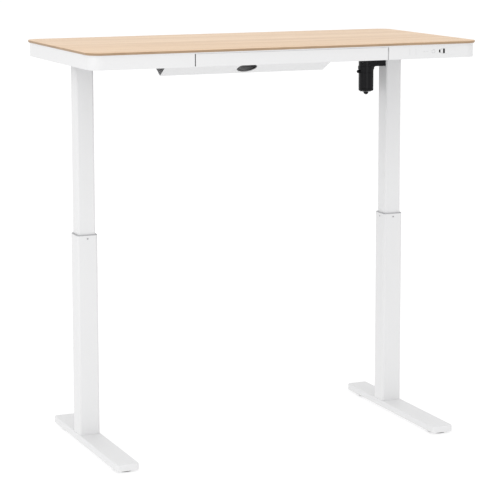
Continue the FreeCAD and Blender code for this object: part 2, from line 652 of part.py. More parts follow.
def make_motor():
    """The gearbox on the right column's inner face, with the motor hanging under it."""
    column_x = dim("leg_spacing") / 2
    motor_x, radius = column_x - dim("motor_offset"), dim("motor_radius")
    deep = dim("motor_gear_depth")
    right_x = column_x - dim("upper_width") / 2 - 2 * CLEARANCE
    back, top = dim("leg_back"), dim("desk_height")
    low, shaft_z = top - dim("motor_gear_bottom"), top - dim("shaft_drop")
    height = shaft_z + dim("motor_gear_rise") - low
    bar = box((right_x - motor_x, deep, height), (motor_x, back - deep / 2, low))
    round_end = cylinder(deep / 2, height, (motor_x, back, low))
    neck_radius, gear_radius = radius + 2, dim("gear_outer") + 1.5
    web_x, web_thick = motor_x + neck_radius - 1, 6
    web = Part.Face(Part.makePolygon([
        Vector(web_x, 0, low - 7), Vector(web_x, 0, low + 1),
        Vector(web_x + 10, 0, low + 1), Vector(web_x, 0, low - 7),
    ])).extrude(Vector(0, web_thick, 0))
    gusset = DOC.addObject("Part::Feature", "gusset")
    gusset.Shape = web
    gusset.Placement = Placement(Vector(0, back - web_thick / 2, 0), Rotation())
    neck = cylinder(neck_radius, "motor_neck", (motor_x, back, low - dim("motor_neck")))
    gear_room = cylinder(gear_radius, 40, (motor_x - dim("gear_outer") - 2, back, shaft_z), "+X")
    pinion_room = cylinder(gear_radius, 30, (motor_x, back, shaft_z - dim("gear_outer") - 4))
    shaft_way = cylinder(7, 2 * deep, (motor_x - deep / 2 - 2, back, shaft_z), "+X")
    stem_way = cylinder(4.3, 40, (motor_x, back, low - dim("motor_neck") - 2))
    can_top = low - 4
    can_seat = cylinder(radius + CLEARANCE, 6.5, (motor_x, back, can_top - 6.5))
    housing = cut(fused(bar, round_end, gusset, neck),
                  gear_room, pinion_room, shaft_way, stem_way, can_seat)
    subpart(housing, "motor_gearbox")
    can_low = top - dim("motor_can_bottom")
    can = cylinder("motor_radius", can_top - 0.1 - can_low, (motor_x, back, can_low))
    can_bore = cylinder(6, 40, (motor_x, back, can_top - 20))
    subpart(cut(can, can_bore), "motor_can")
    tip, cap_depth = top - dim("motor_tip"), 5
    cap = cone("motor_radius", 13, cap_depth, (motor_x, back, can_low - 0.1), "-Z")
    nose = cone(9, 7, can_low - cap_depth - tip - 0.1, (motor_x, back, can_low - cap_depth), "-Z")
    subpart(fused(cap, nose), "motor_end_cap")
    gland = cone(6, 4.5, "gland_length", (motor_x - radius + 1, back, low - dim("gland_drop")), "-X")
    subpart(gland, "motor_gland")
    heads = []
    proud = deep / 2 + 1.6
    for x in (motor_x, right_x - 26):
        for y, axis in ((back - proud, "+Y"), (back + proud, "-Y")):
            heads.append(screw((x, y, low + 5), axis, 3.4, 1.55, 1.6, 3))
    subpart(group(*heads), "gearbox_screws")


def make_electrics():
    """The control box under the board behind the rear rail, and the mains inlet on its side."""
    low = dim("desk_height") - dim("top_thick") - dim("box_drop")
    shell = box(("box_length", "box_depth", "box_height"), ("box_left", "box_front", low))
    subpart(rounded(shell, 3, along(2)), "control_box")
    left = dim("box_left") - dim("inlet_depth") - 0.1
    front = dim("box_front") + (dim("box_depth") - dim("inlet_width")) / 2
    inlet_shell = box(("inlet_depth", "inlet_width", "inlet_height"), (left, front, low + 5))
    rim, pin_start, pin_length = 3, 2, 6
    mouth = box(("inlet_depth-2", "inlet_width-6", "inlet_height-6"), (left - 1, front + rim, low + 5 + rim))
    pins = [box((pin_length, 2, 4), (left + pin_start, front + across, low + 14)) for across in (8, 13, 18)]
    subpart(fused(cut(inlet_shell, mouth), *pins), "power_inlet")


# ---------------------------------------------------------------- fasteners

def make_board_screws():
    """Screws up through the side beams into the board."""
    screws = []
    web_low = dim("desk_height") - dim("top_thick") - dim("sheet_thick") - 0.3 - dim("beam_wall")
    for sign in SIDES.values():
        for y in BOARD_SCREW_Y:
            at = (sign * dim("leg_spacing") / 2, y, web_low - 2.3)
            screws.append(screw(at, "+Z", 5, 2.25, 2.2, 9.5))
    return subpart(group(*screws), "board_screws")


make_tabletop()
make_apron_frame()
make_control_panel()
make_side_beams()
make_cross_rails()
make_cable_tray()
make_drawer()
make_columns()
make_feet()
make_spindles()
make_drive_shaft()
make_motor()
make_electrics()
make_board_screws()
DOC.recompute()


# ---------------------------------------------------------------- checks and export

def check():
    """Stop if any object failed, or a piece has no valid solid."""
    for obj in DOC.Objects:
        if "Invalid" in obj.State or "Error" in obj.State:
            raise RuntimeError(f"{obj.Label}: {obj.State}")
    for obj in SUBPARTS:
        if obj.Shape.isNull() or not obj.Shape.isValid() or not obj.Shape.Solids:
            raise RuntimeError(f"{obj.Label}: no valid solid")


check()
os.makedirs("parts", exist_ok=True)
for piece in SUBPARTS:
    piece.Shape.exportStep(os.path.join("parts", f"{piece.Label}.step"))
print(len(SUBPARTS), "pieces")
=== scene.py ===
"""A height adjustable standing desk: light oak board, white powder-coated steel, black motor."""
import json
import math

import bmesh
import bpy
from mathutils import Matrix, Vector


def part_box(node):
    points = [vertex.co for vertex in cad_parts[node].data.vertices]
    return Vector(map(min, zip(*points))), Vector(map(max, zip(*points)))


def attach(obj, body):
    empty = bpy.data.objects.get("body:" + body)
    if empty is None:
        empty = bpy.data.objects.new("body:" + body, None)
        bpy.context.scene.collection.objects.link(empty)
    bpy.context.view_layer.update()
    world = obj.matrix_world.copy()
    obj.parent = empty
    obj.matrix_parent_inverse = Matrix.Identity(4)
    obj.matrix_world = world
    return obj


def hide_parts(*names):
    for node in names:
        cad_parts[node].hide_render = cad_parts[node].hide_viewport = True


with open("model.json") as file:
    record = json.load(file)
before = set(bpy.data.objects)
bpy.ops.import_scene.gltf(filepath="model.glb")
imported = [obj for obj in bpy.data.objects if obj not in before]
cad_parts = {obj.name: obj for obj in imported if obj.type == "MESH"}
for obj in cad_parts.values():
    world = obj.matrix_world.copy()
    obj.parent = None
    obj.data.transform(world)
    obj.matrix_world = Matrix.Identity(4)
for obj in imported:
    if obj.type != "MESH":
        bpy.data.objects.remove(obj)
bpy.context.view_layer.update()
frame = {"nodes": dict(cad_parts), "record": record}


# ---------------------------------------------------------------- shader sums

class Value:
    """A socket inside a finish, so that sums on it add Math nodes."""

    def __init__(self, finish, socket):
        self.finish, self.socket = finish, socket

    def maths(self, operation, first, second=0.0, clamp=False):
        settings = {"operation": operation, "use_clamp": clamp}
        return self.finish.node("ShaderNodeMath", settings, {0: first, 1: second})

    def __add__(self, other):
        return self.maths("ADD", self, other)

    def __rsub__(self, other):
        return self.maths("SUBTRACT", other, self)

    def __mul__(self, other):
        return self.maths("MULTIPLY", self, other)

    def __lt__(self, other):
        return self.maths("LESS_THAN", self, other)

    def clamped(self):
        return self.maths("ADD", self, 0.0, clamp=True)

    __radd__, __rmul__ = __add__, __mul__


class Finish:
    """A material on one Principled shader, with the nodes that vary it over the surface."""

    def __init__(self, name, colour, roughness, **uniform):
        self.material = bpy.data.materials.new(name)
        self.material.use_nodes = True
        self.tree = self.material.node_tree
        self.shader = self.tree.nodes["Principled BSDF"]
        self.material.diffuse_color = (*colour, 1.0)
        self.feed("Base Color", (*colour, 1.0))
        self.feed("Roughness", roughness)
        for socket, amount in uniform.items():
            self.feed(socket.replace("_", " "), amount)

    def node(self, kind, settings=None, sockets=None, output=0):
        made = self.tree.nodes.new(kind)
        settings = dict(settings or {})
        stops = settings.pop("stops", None)
        for attribute, setting in settings.items():
            setattr(made, attribute, setting)
        if stops:
            elements = made.color_ramp.elements
            while len(elements) < len(stops):
                elements.new(0.5)
            for element, (position, colour) in zip(elements, stops):
                element.position, element.color = position, (*colour, 1.0)
        for key, value in (sockets or {}).items():
            self.join(made.inputs[key], value)
        return Value(self, made.outputs[output])

    def join(self, socket, value):
        if isinstance(value, Value):
            self.tree.links.new(value.socket, socket)
        else:
            socket.default_value = value

    def feed(self, socket, value):
        self.join(self.shader.inputs[socket], value)

    def place(self, stretch=(1, 1, 1), shift=(0, 0, 0)):
        """Object coordinates in metres, stretched and shifted."""
        spot = self.node("ShaderNodeTexCoord", output=3)
        return self.node("ShaderNodeMapping", {}, {"Vector": spot, "Scale": stretch, "Location": shift})

    def noise(self, scale, stretch=(1, 1, 1), detail=3.0, rough=0.5, shift=(0, 0, 0)):
        sockets = {"Vector": self.place(stretch, shift), "Scale": scale, "Detail": detail, "Roughness": rough}
        return self.node("ShaderNodeTexNoise", {}, sockets)

    def blend(self, amount, first, second):
        """A colour between two, by an amount from 0 to 1."""
        first, second = ((*c, 1.0) if isinstance(c, tuple) else c for c in (first, second))
        return self.node("ShaderNodeMix", {"data_type": "RGBA"}, {0: amount, 6: first, 7: second}, output=2)

    def grain(self, height, distance, strength):
        """A bump from a height, in metres."""
        sockets = {"Height": height, "Distance": distance, "Strength": strength}
        return self.node("ShaderNodeBump", {}, sockets)


# ---------------------------------------------------------------- finishes

def oak_finish():
    """Light oak under a satin lacquer, its grain running along the desk."""
    oak = Finish("light_oak", (0.72, 0.55, 0.38), 0.45, Coat_Roughness=0.35, Specular_IOR_Level=0.35)
    fibres = oak.noise(60, (0.5, 9, 9), 6, 0.62)
    bands = oak.noise(9, (0.16, 3.2, 3.2), 3, 0.5)
    lamella = oak.noise(1.6, (0.05, 7, 1), 1, 0.4, (3.1, 0, 0))
    pores = oak.noise(160, (0.09, 6, 6), 2, 0.5)
    mix = (fibres * 0.38 + bands * 0.34 + lamella * 0.28).clamped()
    stops = [(0.34, (0.56, 0.375, 0.225)), (0.50, (0.70, 0.505, 0.335)), (0.66, (0.80, 0.615, 0.44))]
    wood = oak.node("ShaderNodeValToRGB", {"stops": stops}, {"Fac": mix})
    pits = (pores < 0.385) * 0.30
    oak.feed("Base Color", oak.blend(pits, wood, (0.42, 0.27, 0.15)))
    oak.feed("Roughness", 0.40 + fibres * 0.14)
    oak.feed("Normal", oak.grain(fibres * 0.6 + (1 - pits) * 0.4, 0.00012, 0.35))
    return oak


def shaded_oak_edge_finish():
    """The board's edge: the same oak, painted darker brown as shade on the edge, which faces out and down."""
    edge = Finish("oak_edge", (0.40, 0.26, 0.15), 0.5, Specular_IOR_Level=0.3)
    fibres = edge.noise(70, (0.3, 0.3, 14), 4, 0.6)
    # these darker browns are painted shade on the board's edge
    stops = [(0.30, (0.27, 0.175, 0.105)), (0.52, (0.37, 0.25, 0.155)), (0.75, (0.47, 0.33, 0.21))]
    edge.feed("Base Color", edge.node("ShaderNodeValToRGB", {"stops": stops}, {"Fac": fibres}))
    edge.feed("Normal", edge.grain(fibres, 0.0001, 0.3))
    return edge


def powder_finish(name, colour, roughness=0.42, shine=0.45):
    """Powder coat: a fine orange peel with slow changes of tone."""
    powder = Finish(name, colour, roughness, Specular_IOR_Level=shine)
    peel = powder.noise(520, detail=2, rough=0.5)
    cloud = powder.noise(3.5, detail=2)
    darker = tuple(0.965 * c for c in colour)
    powder.feed("Base Color", powder.blend(cloud, darker, colour))
    powder.feed("Roughness", (roughness - 0.05) + peel * 0.10)
    powder.feed("Normal", powder.grain(peel, 0.00006, 0.35))
    return powder


def plastic_finish(name, colour, roughness=0.5, texture=0.00005, shine=0.4):
    """Moulded plastic with a spark-eroded texture."""
    plastic = Finish(name, colour, roughness, Specular_IOR_Level=shine)
    spark = plastic.noise(1400, detail=3, rough=0.6)
    plastic.feed("Roughness", (roughness - 0.08) + spark * 0.16)
    plastic.feed("Normal", plastic.grain(spark, texture, 0.5))
    return plastic


def steel_finish(name, colour, roughness, along):
    """Bare or plated steel with fine marks drawn along one axis."""
    steel = Finish(name, colour, roughness, Metallic=1.0)
    stretch = [1, 1, 1]
    stretch["XYZ".index(along)] = 0.04
    marks = steel.noise(900, tuple(stretch), 3, 0.6)
    spangle = steel.noise(35, detail=1)
    steel.feed("Base Color", steel.blend(spangle, tuple(0.86 * c for c in colour), colour))
    steel.feed("Roughness", (roughness - 0.08) + marks * 0.18)
    steel.feed("Normal", steel.grain(marks, 0.00003, 0.4))
    return steel


OAK = oak_finish()
SHADED_OAK_EDGE = shaded_oak_edge_finish()
WHITE_STEEL = powder_finish("white_powder_coat", (0.71, 0.71, 0.714))
GREY_STEEL = powder_finish("grey_powder_coat", (0.55, 0.55, 0.56))
WHITE_PLASTIC = plastic_finish("white_plastic", (0.74, 0.74, 0.75), 0.5)
# the collars' mid grey is partly their own grey plastic, partly painted shade of the dark line at their joint
COLLAR_SHADE_GREY = plastic_finish("collar_grey", (0.40, 0.40, 0.41), 0.5)
BLACK_PLASTIC = plastic_finish("black_plastic", (0.005, 0.005, 0.006), 0.42, shine=0.16)
BLACK_ENAMEL = powder_finish("black_enamel", (0.004, 0.004, 0.005), 0.24, 0.16)
RUBBER = plastic_finish("glide_rubber", (0.006, 0.006, 0.006), 0.75, 0.0001, 0.1)
ZINC = steel_finish("zinc_plate", (0.60, 0.61, 0.62), 0.38, "Y")
TURNED_STEEL = steel_finish("turned_steel", (0.50, 0.50, 0.51), 0.30, "Z")
SHAFT_STEEL = steel_finish("drawn_steel", (0.50, 0.50, 0.51), 0.30, "X")
SCREW_STEEL = steel_finish("screw_steel", (0.42, 0.42, 0.43), 0.35, "Z")
BLACK_ZINC = steel_finish("black_zinc", (0.03, 0.03, 0.033), 0.40, "Z")
ACETAL = plastic_finish("nut_acetal", (0.70, 0.66, 0.56), 0.4)
BACKING = plastic_finish("grey_backing", (0.27, 0.27, 0.28), 0.6)
PRINT_GREY = plastic_finish("printed_grey", (0.48, 0.48, 0.49), 0.6)
BRASS = steel_finish("contact_brass", (0.72, 0.52, 0.24), 0.3, "Y")


# ---------------------------------------------------------------- mesh work

TURNS = {
    "+Z": Matrix.Identity(4), "-Z": Matrix.Rotation(math.pi, 4, "X"),
    "+X": Matrix.Rotation(math.pi / 2, 4, "Y"), "-X": Matrix.Rotation(-math.pi / 2, 4, "Y"),
    "+Y": Matrix.Rotation(-math.pi / 2, 4, "X"), "-Y": Matrix.Rotation(math.pi / 2, 4, "X"),
}


def turned(bm, at, towards, rings, sides=32, hollow=False, finish=0):
    """Skin a stack of rings, given as heights and radii, along an axis from a point. A radius may be a
    function of the angle. The stack is capped, or its last ring joins its first where it is hollow."""
    spot = Matrix.Translation(Vector(at)) @ TURNS[towards]
    loops = []
    for height, radius in rings:
        loop = []
        for step in range(sides):
            angle = 2 * math.pi * step / sides
            reach = radius(angle) if callable(radius) else radius
            rim = Vector((reach * math.cos(angle), reach * math.sin(angle), height))
            loop.append(bm.verts.new(spot @ rim))
        loops.append(loop)
    pairs = list(zip(loops, loops[1:] + loops[:1])) if hollow else list(zip(loops, loops[1:]))
    faces = []
    for below, above in pairs:
        for step in range(sides):
            following = (step + 1) % sides
            faces.append(bm.faces.new((below[step], below[following], above[following], above[step])))
    if not hollow:
        faces.append(bm.faces.new(list(reversed(loops[0]))))
        faces.append(bm.faces.new(loops[-1]))
    for face in faces:
        face.material_index = finish


def hexagon(across):
    """The radius of a hexagon of this width across its flats, at an angle."""
    def reach(angle):
        return across / 2 / math.cos((angle + math.pi / 6) % (math.pi / 3) - math.pi / 6)
    return reach


def cross(arm):
    """The radius of a cross recess, at an angle."""
    return lambda angle: arm * (0.34 + 0.66 * abs(math.cos(2 * angle)) ** 6)


def cogged(radius, teeth, depth, phase=0.0):
    """The radius of a ring of teeth, at an angle."""
    def reach(angle):
        wave = math.sin(teeth * (angle + phase))
        return radius + depth * max(-1.0, min(1.0, 1.8 * wave))
    return reach


def thread(low, high, radius, depth, pitch, starts=1, steps=4):
    """Rings whose radius follows a helical thread between two heights."""
    def crest(height):
        def reach(angle):
            turn = (height / pitch - starts * angle / (2 * math.pi)) % 1.0
            return radius - depth * abs(2 * turn - 1)
        return reach
    count = max(2, round((high - low) / pitch * steps))
    heights = [low + (high - low) * n / count for n in range(count + 1)]
    return [(z, crest(z)) for z in heights]


def block(bm, low, high, finish=0):
    """A box between two corners."""
    low, high = Vector(low), Vector(high)
    size = high - low
    where = Matrix.Translation((low + high) / 2) @ Matrix.Diagonal((*size, 1.0))
    made = bmesh.ops.create_cube(bm, size=1.0, matrix=where)
    for face in {f for v in made["verts"] for f in v.link_faces}:
        face.material_index = finish


def prism(bm, outline, low, high, axis="X"):
    """A flat outline extruded between two places along an axis."""
    def spot(along, a, b):
        return {"X": (along, a, b), "Y": (a, along, b), "Z": (a, b, along)}[axis]
    first = [bm.verts.new(spot(low, a, b)) for a, b in outline]
    last = [bm.verts.new(spot(high, a, b)) for a, b in outline]
    count = len(outline)
    bm.faces.new(list(reversed(first)))
    bm.faces.new(last)
    for n in range(count):
        m = (n + 1) % count
        bm.faces.new((first[n], first[m], last[m], last[n]))


def rounded_outline(half_x, half_y, radius, arc=8, centre=(0.0, 0.0)):
    """A rounded rectangle's points, anticlockwise."""
    points = []
    for quarter in range(4):
        sx, sy = (1, 1, -1, -1)[quarter], (-1, 1, 1, -1)[quarter]
        start = math.pi / 2 * (quarter - 1)
        for step in range(arc + 1):
            angle = start + math.pi / 2 * step / arc
            x = centre[0] + sx * (half_x - radius) + radius * math.cos(angle)
            y = centre[1] + sy * (half_y - radius) + radius * math.sin(angle)
            points.append((x, y))
    return points


def slab(bm, centre, half_x, half_y, radius, stack, arc=12, finishes=None):
    """A rounded rectangle lofted through a stack of insets and heights."""
    loops = []
    for inset, height in stack:
        corner = max(radius - inset, 0.0002)
        outline = rounded_outline(half_x - inset, half_y - inset, corner, arc, centre)
        loops.append([bm.verts.new((x, y, height)) for x, y in outline])
    count = len(loops[0])
    bottom = bm.faces.new(list(reversed(loops[0])))
    top = bm.faces.new(loops[-1])
    bottom.material_index = finishes[0] if finishes else 0
    top.material_index = finishes[-1] if finishes else 0
    for level, (below, above) in enumerate(zip(loops, loops[1:])):
        for n in range(count):
            m = (n + 1) % count
            face = bm.faces.new((below[n], below[m], above[m], above[n]))
            face.material_index = finishes[level] if finishes else 0


def quarter_round(height, radius, steps):
    """Insets and heights of a rounded edge, up to the top face."""
    turns = [math.pi / 2 * n / steps for n in range(steps + 1)]
    return [(radius * (1 - math.cos(t)), height - radius * (1 - math.sin(t))) for t in turns]


def piece(name, bm, finishes, body, stands_for=(), bevel=None, smooth=35):
    """Turn the mesh into a named piece that rides on a CAD body."""
    bmesh.ops.recalc_face_normals(bm, faces=bm.faces)
    mesh = bpy.data.meshes.new(name)
    bm.to_mesh(mesh)
    bm.free()
    finishes = finishes if isinstance(finishes, (list, tuple)) else [finishes]
    for finish in finishes:
        mesh.materials.append(finish.material)
    obj = bpy.data.objects.new(name, mesh)
    bpy.context.scene.collection.objects.link(obj)
    soften(obj, smooth)
    if bevel:
        round_edges(obj, bevel)
    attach(obj, body)
    if stands_for:
        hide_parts(*([stands_for] if isinstance(stands_for, str) else stands_for))
    return obj


def soften(obj, degrees):
    """Smooth shading, with edges over this angle left sharp."""
    for polygon in obj.data.polygons:
        polygon.use_smooth = True
    obj.data.set_sharp_from_angle(angle=math.radians(degrees))


def round_edges(obj, width):
    """A small round along every sharp edge."""
    bevel = obj.modifiers.new("edge_round", "BEVEL")
    bevel.width, bevel.segments = width, 2
    bevel.limit_method, bevel.angle_limit = "ANGLE", math.radians(40)


def paint(finish, *nodes):
    """Give CAD nodes a finish."""
    for node in nodes:
        data = frame["nodes"][node].data
        data.materials.clear()
        data.materials.append(finish.material)


def both(name):
    """The left and right nodes of this name."""
    return [f"{name}_left", f"{name}_right"]


def middle(node):
    """The middle of a CAD node's box."""
    low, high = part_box(node)
    return (low + high) / 2


def body_of(node):
    """The body that a CAD node moves with."""
    return next(b for b, nodes in frame["record"]["behaviour"]["bodies"].items() if node in nodes)


# ---------------------------------------------------------------- camera, floor and light

def make_camera():
    """A long lens from the front left, a little above the board, aimed slightly down."""
    yaw, pitch, roll = 0.4042, 0.1403, -0.0017
    forward = Vector((math.sin(yaw) * math.cos(pitch), math.cos(yaw) * math.cos(pitch), -math.sin(pitch)))
    level = Vector((math.cos(yaw), -math.sin(yaw), 0))
    rise = level.cross(forward)
    right = level * math.cos(roll) + rise * math.sin(roll)
    up = right.cross(forward)
    data = bpy.data.cameras.new("camera")
    data.sensor_width = 36
    data.lens = 138.6
    data.shift_y = -0.15
    camera = bpy.data.objects.new("camera", data)
    bpy.context.scene.collection.objects.link(camera)
    turn = Matrix((right, up, -forward)).transposed()
    camera.matrix_world = Matrix.Translation((-2.230, -5.206, 1.573)) @ turn.to_4x4()
    bpy.context.scene.camera = camera


def make_floor():
    """A wide pale floor that glows enough to meet the white surround."""
    bm = bmesh.new()
    block(bm, (-14, -14, -0.02), (14, 14, 0.0))
    mesh = bpy.data.meshes.new("floor")
    bm.to_mesh(mesh)
    bm.free()
    pale = Finish("pale_floor", (0.42, 0.42, 0.42), 0.9, Specular_IOR_Level=0.05, Emission_Strength=0.62)
    pale.feed("Emission Color", (1, 1, 1, 1))
    speck = pale.noise(6, detail=2)
    pale.feed("Roughness", 0.86 + speck * 0.08)
    mesh.materials.append(pale.material)
    floor = bpy.data.objects.new("floor", mesh)
    bpy.context.scene.collection.objects.link(floor)


def softbox(name, place, aim, size, power):
    """A rectangular lamp at a place, aimed at a point."""
    data = bpy.data.lights.new(name, "AREA")
    data.shape, data.size, data.size_y, data.energy = "RECTANGLE", size[0], size[1], power
    lamp = bpy.data.objects.new(name, data)
    bpy.context.scene.collection.objects.link(lamp)
    lamp.location = place
    lamp.rotation_euler = (Vector(aim) - Vector(place)).to_track_quat("-Z", "Y").to_euler()


def make_light():
    """Soft studio light: a white surround, and softboxes from the left, from above and from the front."""
    scene = bpy.context.scene
    world = bpy.data.worlds.new("studio")
    scene.world = world
    world.use_nodes = True
    surround = world.node_tree.nodes["Background"]
    surround.inputs["Color"].default_value = (1, 1, 1, 1)
    surround.inputs["Strength"].default_value = 1.04
    scene.view_settings.view_transform = "Standard"
    softbox("left_softbox", (-4.2, -2.2, 2.4), (0, 0, 0.8), (3.0, 3.0), 44)
    softbox("top_softbox", (0.3, -0.8, 4.2), (0, 0, 1.0), (3.0, 3.0), 10)
    softbox("front_softbox", (-0.4, -5.0, 0.9), (0, 0, 0.4), (2.2, 1.6), 13)


make_camera()
make_floor()
make_light()


# ---------------------------------------------------------------- more mesh work

def bend(corners, radius, arc=4):
    """An open path with its inner corners rounded."""
    path = [Vector(corners[0])]
    for before, corner, after in zip(corners, corners[1:], corners[2:]):
        before, corner, after = Vector(before), Vector(corner), Vector(after)
        start = corner + (before - corner).normalized() * radius
        end = corner + (after - corner).normalized() * radius
        for step in range(arc + 1):
            t = step / arc
            path.append(start * (1 - t) ** 2 + corner * 2 * t * (1 - t) + end * t ** 2)
    return path + [Vector(corners[-1])]


def sheet_outline(path, thick):
    """The closed outline of a sheet that follows a flat path, with its thickness on the path's left."""
    steps = [(b - a).normalized() for a, b in zip(path, path[1:])]
    sides = []
    for n, spot in enumerate(path):
        into, out = steps[max(n - 1, 0)], steps[min(n, len(steps) - 1)]
        mitre = (into + out).normalized()
        left = Vector((-mitre.y, mitre.x))
        reach = thick / max(0.3, mitre.dot(out))
        sides.append(spot + left * reach)
    return [tuple(p) for p in path] + [tuple(p) for p in reversed(sides)]


def ball(bm, centre, radius, finish=0):
    """A bearing ball."""
    where = Matrix.Translation(Vector(centre))
    made = bmesh.ops.create_icosphere(bm, subdivisions=2, radius=radius, matrix=where)
    for face in {f for v in made["verts"] for f in v.link_faces}:
        face.material_index = finish


def socket_shell(bm, low, high, wall, radius):
    """A rounded metal sleeve, open towards the user and closed at the back."""
    spot = (low + high) / 2
    half_x, half_z = (high.x - low.x) / 2, (high.z - low.z) / 2
    loops = []
    for y, inset in ((high.y, 0.0), (low.y, 0.0), (low.y, wall), (high.y - wall, wall)):
        ring = rounded_outline(half_x - inset, half_z - inset, radius - inset / 2, 4)
        loops.append([bm.verts.new((spot.x + a, y, spot.z + b)) for a, b in ring])
    count = len(loops[0])
    bm.faces.new(loops[0])
    bm.faces.new(list(reversed(loops[-1])))
    for first, second in zip(loops, loops[1:]):
        for n in range(count):
            m = (n + 1) % count
            bm.faces.new((first[n], first[m], second[m], second[n]))


def islands(node):
    """The low and high corners of each separate solid in a CAD node."""
    bm = bmesh.new()
    bm.from_mesh(frame["nodes"][node].data)
    bmesh.ops.remove_doubles(bm, verts=bm.verts, dist=1e-5)
    seen, boxes = set(), []
    for first in bm.verts:
        if first in seen:
            continue
        seen.add(first)
        part, waiting = [], [first]
        while waiting:
            vert = waiting.pop()
            part.append(vert.co.copy())
            for edge in vert.link_edges:
                other = edge.other_vert(vert)
                if other not in seen:
                    seen.add(other)
                    waiting.append(other)
        low = Vector(min(p[n] for p in part) for n in range(3))
        high = Vector(max(p[n] for p in part) for n in range(3))
        boxes.append((low, high))
    bm.free()
    return boxes


def dress(finish, nodes, edge=None):
    """Paint CAD nodes, and round their sharp edges."""
    paint(finish, *nodes)
    for node in nodes:
        if edge:
            weld = frame["nodes"][node].modifiers.new("weld", "WELD")
            weld.merge_threshold = 1e-5
            round_edges(frame["nodes"][node], edge)


# ---------------------------------------------------------------- board, steelwork and panel

LEG = middle("spindle_right")
SHAFT_Z = middle("drive_shaft").z
MOTOR = middle("motor_can")


def make_board():
    """The oak board: a softened top edge, an edge painted darker as shade, and an undercut below."""
    low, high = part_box("tabletop")
    spot, half = (low + high) / 2, (high - low) / 2
    under, pale_band, crown, corner = 0.005, 0.0022, 0.002, 0.040
    stack = [(under + 0.001, low.z), (under, low.z), (under - pale_band, low.z + pale_band), (0.0, low.z + under)]
    stack += quarter_round(high.z, crown, 3)
    bm = bmesh.new()
    # the edge band's levels take the darker brown that is painted shade
    slab(bm, (spot.x, spot.y), half.x, half.y, corner, stack, 16, [3, 2, 1, 1, 1, 0, 0])
    piece("oak_top", bm, [OAK, SHADED_OAK_EDGE, WHITE_PLASTIC, BACKING], "desk", "tabletop")


def make_steelwork():
    """The folded and tubular steel keeps its CAD shape, with its edges just broken."""
    dress(WHITE_STEEL, ["apron_frame", "drawer_front"], 0.0006)
    dress(WHITE_STEEL, ["cable_tray", "cross_rail_front", "cross_rail_rear"], 0.0004)
    dress(WHITE_STEEL, both("side_beam") + both("upper_column") + both("lower_column"), 0.0004)
    dress(WHITE_STEEL, both("foot"))
    # collar grey: partly painted shade at the collar's joint
    dress(COLLAR_SHADE_GREY, both("column_collar"))
    dress(WHITE_PLASTIC, ["control_panel"], 0.0006)
    dress(BLACK_PLASTIC, ["power_inlet"], 0.0003)
    dress(BLACK_ENAMEL, ["motor_gearbox"])
    dress(BLACK_PLASTIC, both("bevel_housing"))
    dress(ZINC, both("nut_tube"))
    dress(SHAFT_STEEL, ["drive_shaft"], 0.0004)


def make_touch_marks():
    """Faint printed marks on the apron: the display's edge, up and down arrows, and a ring."""
    panel = middle("control_panel")
    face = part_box("apron_frame")[0].y
    z, ink, line = middle("usb_a_port").z, 0.00006, 0.0006
    bm = bmesh.new()

    def stroke(x0, z0, x1, z1):
        along = Vector((x1 - x0, z1 - z0)).normalized() * line / 2
        side = Vector((-along.y, along.x))
        start, end = Vector((x0, z0)) - along, Vector((x1, z1)) + along
        outline = [start + side, start - side, end - side, end + side]
        prism(bm, [tuple(p) for p in outline], face - ink, face, "Y")

    left, right, tall = panel.x - 0.048, panel.x - 0.028, 0.009
    stroke(left, z - tall, left, z + tall)
    stroke(right, z - tall, right, z + tall)
    for x, sign in ((panel.x - 0.0005, 1), (panel.x + 0.009, -1)):
        stroke(x - 0.003, z - sign * 0.0015, x, z + sign * 0.0015)
        stroke(x, z + sign * 0.0015, x + 0.003, z - sign * 0.0015)
    ring, sides = 0.005, 24
    spots = [(panel.x + 0.029 + ring * math.cos(2 * math.pi * n / sides),
              z + ring * math.sin(2 * math.pi * n / sides)) for n in range(sides)]
    for (x0, z0), (x1, z1) in zip(spots, spots[1:] + spots[:1]):
        stroke(x0, z0, x1, z1)
    piece("touch_marks", bm, PRINT_GREY, "desk")


def make_ports():
    """The two sockets: a sleeve, a tongue and its brass contacts."""
    for node, contacts, radius in (("usb_c_port", 6, 0.0030), ("usb_a_port", 4, 0.0012)):
        low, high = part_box(node)
        spot = (low + high) / 2
        bm = bmesh.new()
        socket_shell(bm, low, high, 0.0009, radius)
        tall, thick = (high.z - low.z) / 2 - 0.0028, 0.0007
        front = low.y + 0.0050
        block(bm, (spot.x - thick, front, spot.z - tall), (spot.x + thick, high.y - 0.0008, spot.z + tall))
        for n in range(contacts):
            z = spot.z + tall * (2 * (n + 0.5) / contacts - 1)
            for side in (-1, 1):
                edge = spot.x + side * thick
                x0, x1 = sorted((edge, edge + side * 0.00015))
                block(bm, (x0, front + 0.0006, z - 0.0003), (x1, front + 0.006, z + 0.0003), 1)
        piece(f"{node}_socket", bm, [BLACK_PLASTIC, BRASS], "desk", node, 0.00015)


# ---------------------------------------------------------------- screws

def make_screw(bm, low, high, head_height, shank, pitch, facing, recess):
    """One screw in its box: a shank with a thread, and a domed head with a driver's recess."""
    size, spot = high - low, (low + high) / 2
    lies = max(range(3), key=lambda n: min(abs(size[n] - size[m]) for m in range(3) if m != n))
    sign = facing(spot)[lies]
    towards = ("+" if sign > 0 else "-") + "XYZ"[lies]
    tip = spot.copy()
    tip[lies] = low[lies] if sign > 0 else high[lies]
    length = size[lies]
    head = max(size[n] for n in range(3) if n != lies) / 2 - 0.00005
    neck = length - head_height
    rings = [(0.0, shank * 0.55)] + thread(0.0004, neck - 0.0001, shank, pitch * 0.45, pitch)
    rings += [(neck, head), (neck + head_height * 0.45, head), (neck + head_height * 0.8, head * 0.88),
              (length, head * 0.62), (length, recess), (length - head_height * 0.7, recess)]
    turned(bm, tip, towards, rings, 24)


def away_from_leg(spot):
    """From the nearer leg's axis towards a place."""
    return spot - Vector((math.copysign(LEG.x, spot.x), LEG.y, spot.z))


